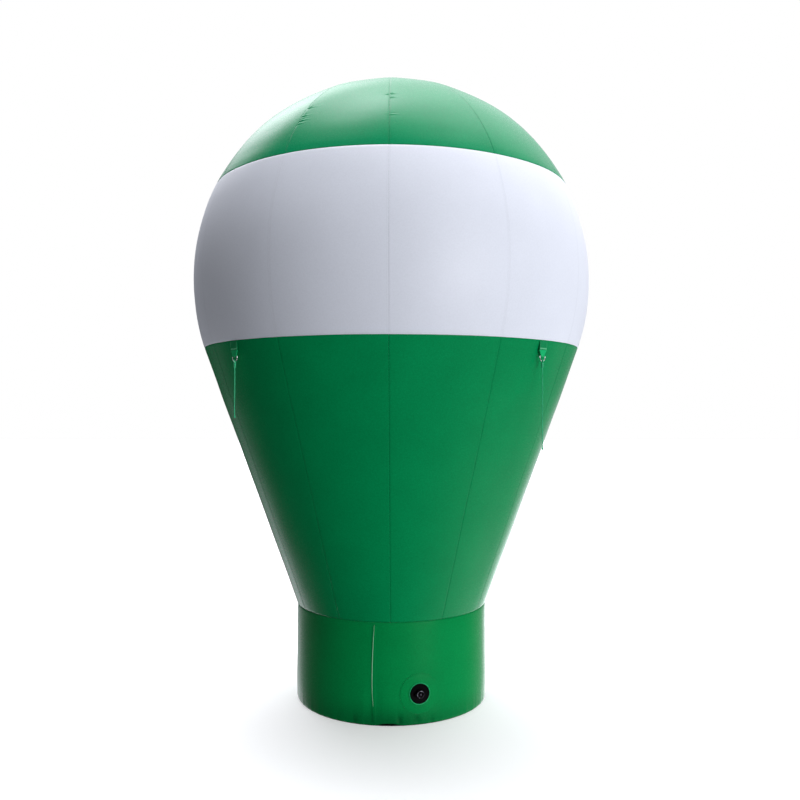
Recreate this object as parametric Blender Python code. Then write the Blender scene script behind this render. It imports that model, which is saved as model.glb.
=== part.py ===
"""Bulb-shaped advertising balloon: an air-tight fabric envelope that stands on its own base.

Metres, +Z up, origin at the centre of the underside. The front faces -Y. An azimuth is
measured at the axis, from the front (-Y) towards the right (+X).
"""
import math

import bmesh
import bpy
from mathutils import Matrix, Vector

# Envelope
HEIGHT = 3.5
SHELL = 0.010
GAP = 0.0003
GORES = 12
GORE_ANGLE = 2 * math.pi / GORES
FACETS_PER_GORE = 5
DOME_RADIUS = 1.127
DOME_RISE = 1.141
DOME_CENTRE_Z = HEIGHT - DOME_RISE
CONE_SLOPE = math.tan(math.radians(19.9))
BASE_TOP_Z = 0.534
BAND_LOW_Z = 1.978
BAND_HIGH_Z = 2.863
CROWN_CAP_RADIUS = 0.090
CROWN_CAP_FACETS = 24
CROWN_POINTS = 8
BAND_POINTS = 4
CROWN_CAP_POINTS = 4
BAND_UPPER_START = math.radians(6.5)
BASE_RADIUS = 0.5405
FLOOR_SHEET = 0.003
FLOOR_SHEET_RADIUS = 0.536

# Lap seam that closes the base wall
LAP_AZIMUTH = math.radians(-9.3)
LAP_WIDTH = 0.020
LAP_THICKNESS = 0.002
LAP_LOW_Z = 0.020
LAP_HIGH_Z = 0.515

# Inflation valve on the base
VALVE_AZIMUTH = math.radians(16.4)
VALVE_Z = 0.162
PATCH_RADIUS = 0.105
PATCH_THICKNESS = 0.0015
PATCH_FACETS = 5
FLANGE_RADIUS = 0.052
FLANGE_THICKNESS = 0.003
FLANGE_FACETS = 3
SHEET_SEGMENTS = 48
SHEET_MARGIN = 1.2
CUTTER_REACH = 0.05
NECK_RADIUS = 0.021
MOUTH_RADIUS = 0.017
NECK_BOTTOM = -0.016
MOUTH_BOTTOM = -0.012
NECK_TOP = 0.014
CAP_RADIUS = 0.022
CAP_THICKNESS = 0.004
CAP_HINGE_OFFSET = 0.027
CAP_HINGE_HEIGHT = NECK_TOP + GAP + CAP_THICKNESS / 2
GRIP_OUTER_RADIUS = 0.020
GRIP_INNER_RADIUS = 0.015
GRIP_CHAMFER = 0.001
GRIP_HEIGHT = 0.003
NUB_RADIUS = 0.004
NUB_TOP_RADIUS = 0.003
NUB_HEIGHT = 0.0035
STEM_RADIUS = 0.004
STEM_HEIGHT = 0.004
PIN_RADIUS = 0.0014
PIN_RECESS = 0.0005
KNUCKLE_BORE = 0.0017
KNUCKLE_RADIUS = 0.0032
KNUCKLE_HALF_WIDTH = 0.005
KNUCKLE_POINTS = 15
TONGUE_OVERLAP = 0.002
TONGUE_HALF_THICKNESS = 0.0015
EAR_INNER = 0.0055
EAR_OUTER = 0.0085
EAR_RADIUS = 0.0035
EAR_POINTS = 9

# Anchor points: webbing strap, D-ring, knot and line at four corners
CORNERS = (
    # name, azimuth in degrees, height where the line ends
    ("front_right", 45.8, 1.440),
    ("rear_right", 135.0, 1.597),
    ("rear_left", 225.0, 1.440),
    ("front_left", 313.0, 1.597),
)
STRAP_TOP_Z = 1.970
STRAP_THICKNESS = 0.004
STRAP_HALF_WIDTH = 0.030
STRAP_TAPER_Z = 1.921
EYE_HALF_WIDTH = 0.018
BAR_RADIUS_FROM_AXIS = 1.054
BAR_Z = 1.900
WIRE_RADIUS = 0.0025
EYE_BORE = 0.0030
EYE_RADIUS = 0.0050
EYE_POINTS = 15
WIDTH_SAMPLES = 12
RING_HALF_WIDTH = 0.0215
RING_DEPTH = 0.026
RING_CORNER = 0.004
BOW_POINTS = 14
CORNER_POINTS = 4
LINE_RADIUS = 0.0025
LOOP_RADIUS = 0.0055
LOOP_POINTS = 14
KNOT_Z = -0.0455
KNOT_SIZE = (0.0075, 0.0065, 0.0145)
KNOT_SEGMENTS = 12
LINE_TOP_Z = KNOT_Z - KNOT_SIZE[2] - GAP
LINE_SWAY = 0.002
LINE_POINTS = 36
END_KNOT_RADIUS = 0.0055
END_KNOT_LIFT = 0.002
END_KNOT_SEGMENTS = 10
KNOT_RINGS = 8

ROUND_SEGMENTS = 32
SMALL_SEGMENTS = 16
TUBE_BEVEL_STEPS = 2
SHARP_ANGLE = math.radians(35)
WELD_DISTANCE = 1e-6

for old in list(bpy.data.objects):
    bpy.data.objects.remove(old, do_unlink=True)

parts = bpy.data.collections.new("advertising_balloon")
cutters = bpy.data.collections.new("cutters")
bpy.context.scene.collection.children.link(parts)
bpy.context.scene.collection.children.link(cutters)


# Materials

def material(name, colour, roughness, metallic=0.0):
    made = bpy.data.materials.new(name)
    made.use_nodes = True
    shader = made.node_tree.nodes["Principled BSDF"]
    shader.inputs["Base Color"].default_value = (*colour, 1.0)
    shader.inputs["Roughness"].default_value = roughness
    shader.inputs["Metallic"].default_value = metallic
    return made


GREEN = material("green_fabric", (0.004, 0.231, 0.067), 0.45)
WHITE = material("white_fabric", (0.680, 0.710, 0.790), 0.50)
WEBBING = material("green_webbing", (0.012, 0.280, 0.095), 0.70)
LINE = material("green_line", (0.020, 0.300, 0.100), 0.75)
STEEL = material("ring_steel", (0.720, 0.730, 0.750), 0.22, 1.0)
BLACK = material("valve_black", (0.008, 0.008, 0.009), 0.35)
FLOOR = material("floor_sheet_black", (0.010, 0.010, 0.011), 0.60)


# Helpers

def place(name, mesh, finish, collection=parts, matrix=None):
    """Link a mesh as a named object with its material."""
    made = bpy.data.objects.new(name, mesh)
    collection.objects.link(made)
    if collection is cutters:
        made.hide_render = True
        made.display_type = "WIRE"
    if finish and not mesh.materials:
        mesh.materials.append(finish)
    if matrix is not None:
        made.matrix_world = matrix
    return made


def finish_mesh(bm, name):
    """Turn a bmesh into a mesh with its normals out and its round faces smooth."""
    bmesh.ops.recalc_face_normals(bm, faces=bm.faces[:])
    mesh = bpy.data.meshes.new(name)
    bm.to_mesh(mesh)
    bm.free()
    mesh.shade_smooth()
    mesh.set_sharp_from_angle(angle=SHARP_ANGLE)
    return mesh


def direction(azimuth):
    """Outward direction at an azimuth."""
    return Vector((math.sin(azimuth), -math.cos(azimuth), 0.0))


def along(azimuth):
    """Direction in which the azimuth grows."""
    return Vector((math.cos(azimuth), math.sin(azimuth), 0.0))


def turn(bm, section, start, angle, steps):
    """Turn a closed (radius, height) section about Z, from azimuth start through angle."""
    verts = [bm.verts.new(direction(start) * r + Vector((0, 0, z))) for r, z in section]
    edges = [bm.edges.new((verts[i - 1], verts[i])) for i in range(len(verts))]
    bmesh.ops.spin(bm, geom=verts + edges, cent=(0, 0, 0), axis=(0, 0, 1),
                   angle=angle, steps=steps, use_duplicate=False)
    bmesh.ops.remove_doubles(bm, verts=bm.verts[:], dist=WELD_DISTANCE)
    on_axis = [edge for edge in bm.edges if not edge.link_faces]
    bmesh.ops.delete(bm, geom=on_axis, context="EDGES")


def close_holes(bm):
    rims = [edge for edge in bm.edges if edge.is_boundary]
    bmesh.ops.holes_fill(bm, edges=rims, sides=0)


def turned_mesh(name, section, steps, start=0.0):
    """A full turn of a closed section about Z."""
    bm = bmesh.new()
    turn(bm, section, start, 2 * math.pi, steps)
    return finish_mesh(bm, name)


def sector_mesh(name, section, start, steps, step_angle):
    """Part of a turn of a closed section, with flat ends."""
    bm = bmesh.new()
    turn(bm, section, start, steps * step_angle, steps)
    close_holes(bm)
    return finish_mesh(bm, name)


def cylinder_mesh(name, radius, low, high, segments=ROUND_SEGMENTS):
    """A cylinder along Z between two heights."""
    bm = bmesh.new()
    centre = Matrix.Translation((0, 0, (low + high) / 2))
    bmesh.ops.create_cone(bm, cap_ends=True, segments=segments, radius1=radius,
                          radius2=radius, depth=high - low, matrix=centre)
    return finish_mesh(bm, name)


def box_mesh(name, low, high):
    low, high = Vector(low), Vector(high)
    bm = bmesh.new()
    bmesh.ops.create_cube(bm, size=1.0)
    bmesh.ops.scale(bm, vec=high - low, verts=bm.verts[:])
    bmesh.ops.translate(bm, vec=(low + high) / 2, verts=bm.verts[:])
    return finish_mesh(bm, name)


def curve_object(name, splines, closed, bevel=0.0, extrude=0.0, flat=False):
    """A poly curve: a tube where bevel is given, or a filled flat outline."""
    curve = bpy.data.curves.new(name, "CURVE")
    curve.dimensions = "2D" if flat else "3D"
    curve.fill_mode = "BOTH" if flat else "FULL"
    curve.bevel_depth = bevel
    curve.bevel_resolution = TUBE_BEVEL_STEPS
    curve.use_fill_caps = bevel > 0 and not closed
    curve.extrude = extrude
    for points in splines:
        spline = curve.splines.new("POLY")
        spline.points.add(len(points) - 1)
        for point, place_at in zip(spline.points, points):
            point.co = (*place_at, 1.0)
        spline.use_cyclic_u = closed
    made = bpy.data.objects.new(name, curve)
    cutters.objects.link(made)
    return made


def solid_from_curve(made):
    """Make the mesh of a curve object, with its caps welded, and remove the curve."""
    graph = bpy.context.evaluated_depsgraph_get()
    mesh = bpy.data.meshes.new_from_object(made.evaluated_get(graph))
    bm = bmesh.new()
    bm.from_mesh(mesh)
    bmesh.ops.remove_doubles(bm, verts=bm.verts[:], dist=WELD_DISTANCE)
    name = made.name
    bpy.data.objects.remove(made, do_unlink=True)
    bpy.data.meshes.remove(mesh)
    return finish_mesh(bm, name)


def extruded_mesh(name, splines, half_width, matrix):
    """A flat outline with holes, thickened both ways along its Z and then turned by matrix."""
    mesh = solid_from_curve(curve_object(name, [[(x, y, 0) for x, y in s] for s in splines],
                                         True, extrude=half_width, flat=True))
    mesh.transform(matrix)
    return mesh


def combine(base, others, operation):
    """Boolean the mesh of base with each of the other objects, in turn."""
    for other in others:
        step = base.modifiers.new(operation.lower(), "BOOLEAN")
        step.operation = operation
        step.object = other
    return base


def circle(radius, count, centre=(0.0, 0.0)):
    """Points round a whole circle."""
    return [(centre[0] + radius * math.cos(2 * math.pi * i / count),
             centre[1] + radius * math.sin(2 * math.pi * i / count)) for i in range(count)]


def arc(radius, count, centre, start, sweep):
    """Points along part of a circle, both ends included."""
    angles = [start + sweep * i / (count - 1) for i in range(count)]
    return [(centre[0] + radius * math.cos(a), centre[1] + radius * math.sin(a)) for a in angles]


# Envelope

def dome_arc(inset, start, end, count):
    """Points on the dome's ellipse, drawn in by inset, between two angles above its centre."""
    angles = [start + (end - start) * i / (count - 1) for i in range(count)]
    return [((DOME_RADIUS - inset) * math.cos(a), DOME_CENTRE_Z + (DOME_RISE - inset) * math.sin(a))
            for a in angles]


def angle_at_height(inset, z):
    return math.asin((z - DOME_CENTRE_Z) / (DOME_RISE - inset))


def angle_at_radius(inset, radius):
    return math.acos(radius / (DOME_RADIUS - inset))


def dome_section(ends):
    """A closed section of the dome's shell; ends gives its angles and counts for an inset."""
    outer, inner = [], []
    for inset, points in ((0.0, outer), (SHELL, inner)):
        for start, end, count in ends(inset):
            points += dome_arc(inset, start, end, count)
    return outer + inner[::-1]


TANGENT_ANGLE = math.atan(-CONE_SLOPE * DOME_RISE / DOME_RADIUS)
TANGENT_RADIUS = DOME_RADIUS * math.cos(TANGENT_ANGLE)
TANGENT_Z = DOME_CENTRE_Z + DOME_RISE * math.sin(TANGENT_ANGLE)


def cone_radius(z):
    """Radius of the cone's outer face, which leaves the dome along its tangent."""
    return TANGENT_RADIUS + (z - TANGENT_Z) * CONE_SLOPE


def crown_section():
    return dome_section(lambda inset: ((angle_at_height(inset, BAND_HIGH_Z + GAP / 2),
                                        angle_at_radius(inset, CROWN_CAP_RADIUS + GAP),
                                        CROWN_POINTS),))


def band_section():
    """The band's arc, in two runs with a point at the widest height."""
    return dome_section(lambda inset: (
        (angle_at_height(inset, BAND_LOW_Z + GAP / 2), 0.0, BAND_POINTS),
        (BAND_UPPER_START, angle_at_height(inset, BAND_HIGH_Z - GAP / 2), BAND_POINTS)))


def cone_section():
    low = BASE_TOP_Z + GAP / 2
    high = BAND_LOW_Z - GAP / 2
    across = SHELL / math.cos(math.atan(CONE_SLOPE))
    return [(cone_radius(low), low), (cone_radius(high), high),
            (cone_radius(high) - across, high), (cone_radius(low) - across, low)]


def gore_mesh(name, section):
    """One gore from azimuth 0, trimmed along both seams so that neighbours keep the gap."""
    bm = bmesh.new()
    turn(bm, section, 0.0, GORE_ANGLE, FACETS_PER_GORE)
    for azimuth, side in ((0.0, 1), (GORE_ANGLE, -1)):
        bmesh.ops.bisect_plane(bm, geom=bm.verts[:] + bm.edges[:] + bm.faces[:],
                               plane_co=along(azimuth) * side * GAP / 2,
                               plane_no=along(azimuth) * side, clear_inner=True)
    close_holes(bm)
    return finish_mesh(bm, name)


def add_row(name, section, finish):
    """A ring of gores, one object for each, which share a mesh."""
    mesh = gore_mesh(name, section)
    for k in range(GORES):
        place(f"{name}_{k + 1:02d}", mesh, finish, matrix=Matrix.Rotation(k * GORE_ANGLE, 4, "Z"))


add_row("crown_gore", crown_section(), GREEN)
add_row("band_panel", band_section(), WHITE)
add_row("cone_gore", cone_section(), GREEN)

cap_rim = angle_at_radius(0.0, CROWN_CAP_RADIUS)
cap_rim_inside = angle_at_radius(SHELL, CROWN_CAP_RADIUS)
place("crown_cap", turned_mesh("crown_cap",
                               dome_arc(0.0, cap_rim, math.pi / 2, CROWN_CAP_POINTS)
                               + dome_arc(SHELL, math.pi / 2, cap_rim_inside, CROWN_CAP_POINTS),
                               CROWN_CAP_FACETS), GREEN)

FACET = GORE_ANGLE / FACETS_PER_GORE
BASE_FACETS = GORES * FACETS_PER_GORE
BASE_START = VALVE_AZIMUTH - FACET / 2
WALL_LOW_Z = FLOOR_SHEET + GAP
WALL_HIGH_Z = BASE_TOP_Z - GAP / 2


def wall_section(low_radius, high_radius, low_z, high_z):
    return [(high_radius, low_z), (high_radius, high_z), (low_radius, high_z), (low_radius, low_z)]


place("floor_sheet", turned_mesh("floor_sheet",
                                 [(0.0, 0.0), (FLOOR_SHEET_RADIUS, 0.0),
                                  (FLOOR_SHEET_RADIUS, FLOOR_SHEET), (0.0, FLOOR_SHEET)],
                                 BASE_FACETS, BASE_START), FLOOR)

# Valve frame: its X runs along the azimuth, its Y is up and its Z points out of the wall
FACET_PLANE = BASE_RADIUS * math.cos(FACET / 2)
out, side = direction(VALVE_AZIMUTH), along(VALVE_AZIMUTH)
VALVE = Matrix((
    (side.x, 0, out.x, out.x * FACET_PLANE),
    (side.y, 0, out.y, out.y * FACET_PLANE),
    (0, 1, 0, VALVE_Z),
    (0, 0, 0, 1),
))
PATCH_LOW = GAP
PATCH_HIGH = PATCH_LOW + PATCH_THICKNESS
FLANGE_LOW = PATCH_HIGH + GAP
FLANGE_HIGH = FLANGE_LOW + FLANGE_THICKNESS

base_wall = place("base_wall", turned_mesh("base_wall",
                                           wall_section(BASE_RADIUS - SHELL, BASE_RADIUS,
                                                        WALL_LOW_Z, WALL_HIGH_Z),
                                           BASE_FACETS, BASE_START), GREEN)
valve_hole = place("valve_hole",
                   cylinder_mesh("valve_hole", NECK_RADIUS + GAP, -CUTTER_REACH, CUTTER_REACH),
                   None, cutters, VALVE)
combine(base_wall, [valve_hole], "DIFFERENCE")


def round_sheet(name, radius, low, high, facets, finish):
    """A round sheet that follows the base wall's facets, low to high above them."""
    reach = facets * FACET / 2
    scale = 1 / math.cos(FACET / 2)
    section = wall_section(BASE_RADIUS + low * scale, BASE_RADIUS + high * scale,
                           VALVE_Z - radius * SHEET_MARGIN, VALVE_Z + radius * SHEET_MARGIN)
    sheet = place(name, sector_mesh(name, section, VALVE_AZIMUTH - reach, facets, FACET), finish)
    outline = place(name + "_outline",
                    cylinder_mesh(name + "_outline", radius, -CUTTER_REACH, CUTTER_REACH,
                                  SHEET_SEGMENTS),
                    None, cutters, VALVE)
    return combine(sheet, [outline], "INTERSECT")


patch = round_sheet("valve_patch", PATCH_RADIUS, PATCH_LOW, PATCH_HIGH, PATCH_FACETS, GREEN)
combine(patch, [valve_hole], "DIFFERENCE")


def ear_mesh(name, low, high):
    """A hinge ear that stands on the flange, between two heights along the pin."""
    top = arc(EAR_RADIUS, EAR_POINTS, (-CAP_HINGE_OFFSET, CAP_HINGE_HEIGHT), 0.0, math.pi)
    foot = [(-CAP_HINGE_OFFSET - EAR_RADIUS, FLANGE_LOW + FLANGE_THICKNESS / 2),
            (-CAP_HINGE_OFFSET + EAR_RADIUS, FLANGE_LOW + FLANGE_THICKNESS / 2)]
    stand = Matrix.Translation((0, (low + high) / 2, 0)) @ Matrix.Rotation(math.pi / 2, 4, "X")
    return extruded_mesh(name, [top + foot], (high - low) / 2, stand)


valve_body = round_sheet("valve_body", FLANGE_RADIUS, FLANGE_LOW, FLANGE_HIGH, FLANGE_FACETS, BLACK)
neck = place("valve_neck", cylinder_mesh("valve_neck", NECK_RADIUS, NECK_BOTTOM, NECK_TOP),
             None, cutters, VALVE)
ears = [place(f"valve_ear_{i}", ear_mesh(f"valve_ear_{i}", low, high), None, cutters, VALVE)
        for i, (low, high) in enumerate(((EAR_INNER, EAR_OUTER), (-EAR_OUTER, -EAR_INNER)))]
pin_mesh = cylinder_mesh("valve_pin", PIN_RADIUS, -EAR_OUTER + PIN_RECESS, EAR_OUTER - PIN_RECESS,
                         SMALL_SEGMENTS)
pin_mesh.transform(Matrix.Translation((-CAP_HINGE_OFFSET, 0, CAP_HINGE_HEIGHT))
                   @ Matrix.Rotation(math.pi / 2, 4, "X"))
pin = place("valve_pin", pin_mesh, None, cutters, VALVE)
mouth_section = [(0.0, NECK_TOP * 2), (MOUTH_RADIUS, NECK_TOP * 2), (MOUTH_RADIUS, MOUTH_BOTTOM),
                 (STEM_RADIUS, MOUTH_BOTTOM), (STEM_RADIUS, MOUTH_BOTTOM + STEM_HEIGHT),
                 (0.0, MOUTH_BOTTOM + STEM_HEIGHT)]
mouth = place("valve_mouth", turned_mesh("valve_mouth", mouth_section, ROUND_SEGMENTS),
              None, cutters, VALVE)
combine(valve_body, [neck], "UNION")
combine(valve_body, [mouth], "DIFFERENCE")
combine(valve_body, [*ears, pin], "UNION")

# Cap: its origin is on the hinge pin, and its Z points out of the wall
CAP = VALVE @ Matrix.Translation((-CAP_HINGE_OFFSET, 0, CAP_HINGE_HEIGHT))
half = CAP_THICKNESS / 2
cap_section = [(0.0, -half), (CAP_RADIUS, -half), (CAP_RADIUS, half), (GRIP_OUTER_RADIUS, half),
               (GRIP_OUTER_RADIUS - GRIP_CHAMFER, half + GRIP_HEIGHT),
               (GRIP_INNER_RADIUS + GRIP_CHAMFER, half + GRIP_HEIGHT),
               (GRIP_INNER_RADIUS, half), (NUB_RADIUS, half),
               (NUB_TOP_RADIUS, half + NUB_HEIGHT), (0.0, half + NUB_HEIGHT)]
cap_mesh = turned_mesh("valve_cap", cap_section, ROUND_SEGMENTS)
cap_mesh.transform(Matrix.Translation((CAP_HINGE_OFFSET, 0, 0)))
valve_cap = place("valve_cap", cap_mesh, BLACK, matrix=CAP)
tongue_end = CAP_HINGE_OFFSET - CAP_RADIUS + TONGUE_OVERLAP
tongue_start = math.asin(TONGUE_HALF_THICKNESS / KNUCKLE_RADIUS)
tongue = ([(tongue_end, -TONGUE_HALF_THICKNESS), (tongue_end, TONGUE_HALF_THICKNESS)]
          + arc(KNUCKLE_RADIUS, KNUCKLE_POINTS, (0.0, 0.0), tongue_start,
                2 * math.pi - 2 * tongue_start))
knuckle_mesh = extruded_mesh("cap_knuckle", [tongue, circle(KNUCKLE_BORE, SMALL_SEGMENTS)],
                             KNUCKLE_HALF_WIDTH, Matrix.Rotation(math.pi / 2, 4, "X"))
knuckle = place("cap_knuckle", knuckle_mesh, None, cutters, CAP)
combine(valve_cap, [knuckle], "UNION")

# Lap seam, a flat welt on the base wall's facet
lap_facet = BASE_START + FACET * (math.floor((LAP_AZIMUTH - BASE_START) / FACET) + 0.5)
lap_side = FACET_PLANE * math.tan(LAP_AZIMUTH - lap_facet)
place("base_lap_seam",
      box_mesh("base_lap_seam",
               (lap_side - LAP_WIDTH / 2, -FACET_PLANE - GAP - LAP_THICKNESS, LAP_LOW_Z),
               (lap_side + LAP_WIDTH / 2, -FACET_PLANE - GAP, LAP_HIGH_Z)),
      GREEN, matrix=Matrix.Rotation(lap_facet, 4, "Z"))


# Anchor points, each in a frame whose -Y points outward and whose origin is on the ring's bar

def wall_reach(azimuth, radius, half_width):
    """How far the faceted wall comes out towards an azimuth, anywhere across a strap's width."""
    plane = radius * math.cos(FACET / 2)
    first = math.floor(azimuth / FACET)
    leans = [(k + 0.5) * FACET - azimuth for k in range(first - 1, first + 2)]
    offsets = [half_width * i / WIDTH_SAMPLES for i in range(-WIDTH_SAMPLES, WIDTH_SAMPLES + 1)]
    return max(min((plane - offset * math.sin(lean)) / math.cos(lean) for lean in leans)
               for offset in offsets)


def strap_mesh(azimuth):
    """Doubled webbing from the band's lower seam, round the bar of the ring as an eye."""
    wall = wall_reach(azimuth, cone_radius(STRAP_TOP_Z), STRAP_HALF_WIDTH)
    top = Vector((wall + 2 * GAP + STRAP_THICKNESS / 2 - BAR_RADIUS_FROM_AXIS,
                  STRAP_TOP_Z - BAR_Z))
    lean = math.atan2(top.y, top.x)
    across = Vector((-top.y, top.x)).normalized() * STRAP_THICKNESS / 2
    open_angle = math.asin(STRAP_THICKNESS / 2 / EYE_RADIUS)
    eye = arc(EYE_RADIUS, EYE_POINTS, (0.0, 0.0), lean + open_angle, 2 * math.pi - 2 * open_angle)
    outline = [tuple(top - across), tuple(top + across)] + eye
    stand = Matrix(((0, 0, 1, 0), (-1, 0, 0, 0), (0, 1, 0, 0), (0, 0, 0, 1)))
    mesh = extruded_mesh("strap", [outline], STRAP_HALF_WIDTH, stand)
    taper = (STRAP_HALF_WIDTH - EYE_HALF_WIDTH) / (STRAP_TAPER_Z - BAR_Z)
    bm = bmesh.new()
    bm.from_mesh(mesh)
    for hand in (1, -1):
        bmesh.ops.bisect_plane(bm, geom=bm.verts[:] + bm.edges[:] + bm.faces[:],
                               plane_co=(hand * EYE_HALF_WIDTH, 0, 0),
                               plane_no=(hand, 0, -taper), clear_outer=True)
        close_holes(bm)
    bpy.data.meshes.remove(mesh)
    bore = cylinder_mesh("strap_bore", EYE_BORE, -STRAP_HALF_WIDTH, STRAP_HALF_WIDTH,
                         SMALL_SEGMENTS)
    bore.transform(Matrix.Rotation(math.pi / 2, 4, "Y"))
    return finish_mesh(bm, "strap"), bore


def ring_mesh():
    """A D-ring of round wire: a straight bar above, and a half round below."""
    flat = RING_HALF_WIDTH - RING_CORNER
    bow = (0.0, -(RING_DEPTH - RING_HALF_WIDTH))
    outline = (arc(RING_HALF_WIDTH, BOW_POINTS, bow, math.pi, math.pi)
               + arc(RING_CORNER, CORNER_POINTS, (flat, -RING_CORNER), 0.0, math.pi / 2)
               + arc(RING_CORNER, CORNER_POINTS, (-flat, -RING_CORNER), math.pi / 2, math.pi / 2))
    return solid_from_curve(curve_object("ring", [[(x, 0, z) for x, z in outline]], True,
                                         bevel=WIRE_RADIUS))


def knot_mesh():
    """The line's loop round the ring's bow, and the knot that closes it."""
    bm = bmesh.new()
    loop = solid_from_curve(curve_object(
        "loop", [[(0, y, z) for y, z in circle(LOOP_RADIUS, LOOP_POINTS, (0, -RING_DEPTH))]],
        True, bevel=LINE_RADIUS))
    bm.from_mesh(loop)
    ring_round_bow = finish_mesh(bm, "loop_round_bow")
    bm = bmesh.new()
    size = Matrix.Diagonal((*KNOT_SIZE, 1))
    bmesh.ops.create_uvsphere(bm, u_segments=KNOT_SEGMENTS, v_segments=KNOT_RINGS, radius=1.0,
                              matrix=Matrix.Translation((0, 0, KNOT_Z)) @ size)
    return ring_round_bow, finish_mesh(bm, "knot")


def line_mesh(name, length):
    """The hanging line, with a stopper knot at its end."""
    end = LINE_TOP_Z - length
    points = []
    for i in range(LINE_POINTS):
        share = i / (LINE_POINTS - 1)
        points.append((LINE_SWAY * math.sin(2 * math.pi * share) * share, 0,
                       LINE_TOP_Z - length * share))
    tube = solid_from_curve(curve_object(name, [points], False, bevel=LINE_RADIUS))
    bm = bmesh.new()
    bmesh.ops.create_uvsphere(bm, u_segments=END_KNOT_SEGMENTS, v_segments=KNOT_RINGS,
                              radius=END_KNOT_RADIUS,
                              matrix=Matrix.Translation((0, 0, end + END_KNOT_LIFT)))
    return tube, finish_mesh(bm, name + "_stopper")


ring = ring_mesh()
loop, knot = knot_mesh()
for corner, degrees, end_z in CORNERS:
    azimuth = math.radians(degrees)
    strap, bore = strap_mesh(azimuth)
    anchor = (Matrix.Rotation(azimuth, 4, "Z")
              @ Matrix.Translation((0, -BAR_RADIUS_FROM_AXIS, BAR_Z)))
    webbing = place("strap_" + corner, strap, WEBBING, matrix=anchor)
    combine(webbing, [place("bore_" + corner, bore, None, cutters, anchor)], "DIFFERENCE")
    place("ring_" + corner, ring, STEEL, matrix=anchor)
    tied = place("knot_" + corner, knot.copy(), LINE, matrix=anchor)
    combine(tied, [place("loop_" + corner, loop, None, cutters, anchor)], "UNION")
    tube, stopper = line_mesh("line_" + corner, BAR_Z + LINE_TOP_Z - end_z)
    line = place("line_" + corner, tube, LINE, matrix=anchor)
    combine(line, [place("stopper_" + corner, stopper, None, cutters, anchor)], "UNION")
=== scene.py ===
import math

import bpy
import numpy as np
from mathutils import Matrix, Vector


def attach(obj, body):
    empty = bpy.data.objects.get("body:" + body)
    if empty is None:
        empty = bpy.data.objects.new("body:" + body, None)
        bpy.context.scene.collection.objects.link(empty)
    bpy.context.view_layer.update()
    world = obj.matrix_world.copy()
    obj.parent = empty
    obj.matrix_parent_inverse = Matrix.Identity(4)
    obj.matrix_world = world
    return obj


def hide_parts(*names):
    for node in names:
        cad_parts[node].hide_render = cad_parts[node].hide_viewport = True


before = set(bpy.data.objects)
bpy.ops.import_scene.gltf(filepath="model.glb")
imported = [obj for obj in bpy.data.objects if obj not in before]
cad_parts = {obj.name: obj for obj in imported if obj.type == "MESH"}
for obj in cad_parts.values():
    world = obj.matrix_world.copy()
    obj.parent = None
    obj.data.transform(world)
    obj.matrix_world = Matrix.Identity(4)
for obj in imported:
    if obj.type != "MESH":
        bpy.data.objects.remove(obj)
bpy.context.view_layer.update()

# The envelope's shape, as in the part's source
GORES = 12
GORE_ANGLE = 2 * math.pi / GORES
SHELL = 0.010
GAP = 0.0003
DOME_RADIUS = 1.127
DOME_RISE = 1.141
DOME_CENTRE_Z = 2.359
CONE_ANGLE = math.radians(19.9)
CONE_SLOPE = math.tan(CONE_ANGLE)
TANGENT_ANGLE = math.atan(-CONE_SLOPE * DOME_RISE / DOME_RADIUS)
TANGENT_RADIUS = DOME_RADIUS * math.cos(TANGENT_ANGLE)
TANGENT_Z = DOME_CENTRE_Z + DOME_RISE * math.sin(TANGENT_ANGLE)
BASE_TOP_Z = 0.534
BAND_LOW_Z = 1.978
BAND_HIGH_Z = 2.863
CROWN_CAP_RADIUS = 0.090
BASE_RADIUS = 0.5405
FACET = GORE_ANGLE / 5
FACET_PLANE = BASE_RADIUS * math.cos(FACET / 2)
FLOOR_SHEET = 0.003

# The valve's place, as in the part's source
VALVE_AZIMUTH = math.radians(16.4)
VALVE_Z = 0.162
LAP_AZIMUTH = math.radians(-9.3)

# The anchor points, as in the part's source: name, azimuth in degrees, height of the line's end
CORNERS = (
    ("front_right", 45.8, 1.440),
    ("rear_right", 135.0, 1.597),
    ("rear_left", 225.0, 1.440),
    ("front_left", 313.0, 1.597),
)
BAR_RADIUS_FROM_AXIS = 1.054
BAR_Z = 1.900
LINE_RADIUS = 0.0025
LINE_TOP_Z = -0.0455 - 0.0145 - GAP
LINE_SWAY = 0.002
LINE_POINTS = 36
RING_DEPTH = 0.026


def direction(azimuth):
    return Vector((math.sin(azimuth), -math.cos(azimuth), 0.0))


def corner_frame(degrees):
    """An anchor point's frame, at the middle of the ring's bar, with -Y outward."""
    return (Matrix.Rotation(math.radians(degrees), 4, "Z")
            @ Matrix.Translation((0, -BAR_RADIUS_FROM_AXIS, BAR_Z)))


def turn_from(azimuth, start):
    """The turn from one azimuth to another, between -pi and pi."""
    return (azimuth - start + math.pi) % (2 * math.pi) - math.pi


def smooth_step(x):
    x = np.clip(x, 0, 1)
    return x * x * (3 - 2 * x)


# Camera

camera_data = bpy.data.cameras.new("camera")
camera = bpy.data.objects.new("camera", camera_data)
bpy.context.scene.collection.objects.link(camera)
camera.location = (0.0664, -4.8226, 1.6299)
camera.rotation_euler = (math.pi / 2 + 0.0127, 0.0, 0.0037)
camera_data.sensor_fit = "HORIZONTAL"
camera_data.sensor_width = 36.0
camera_data.lens = 37.17
bpy.context.scene.camera = camera
bpy.context.scene.view_settings.view_transform = "Standard"


# Node helpers

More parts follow.
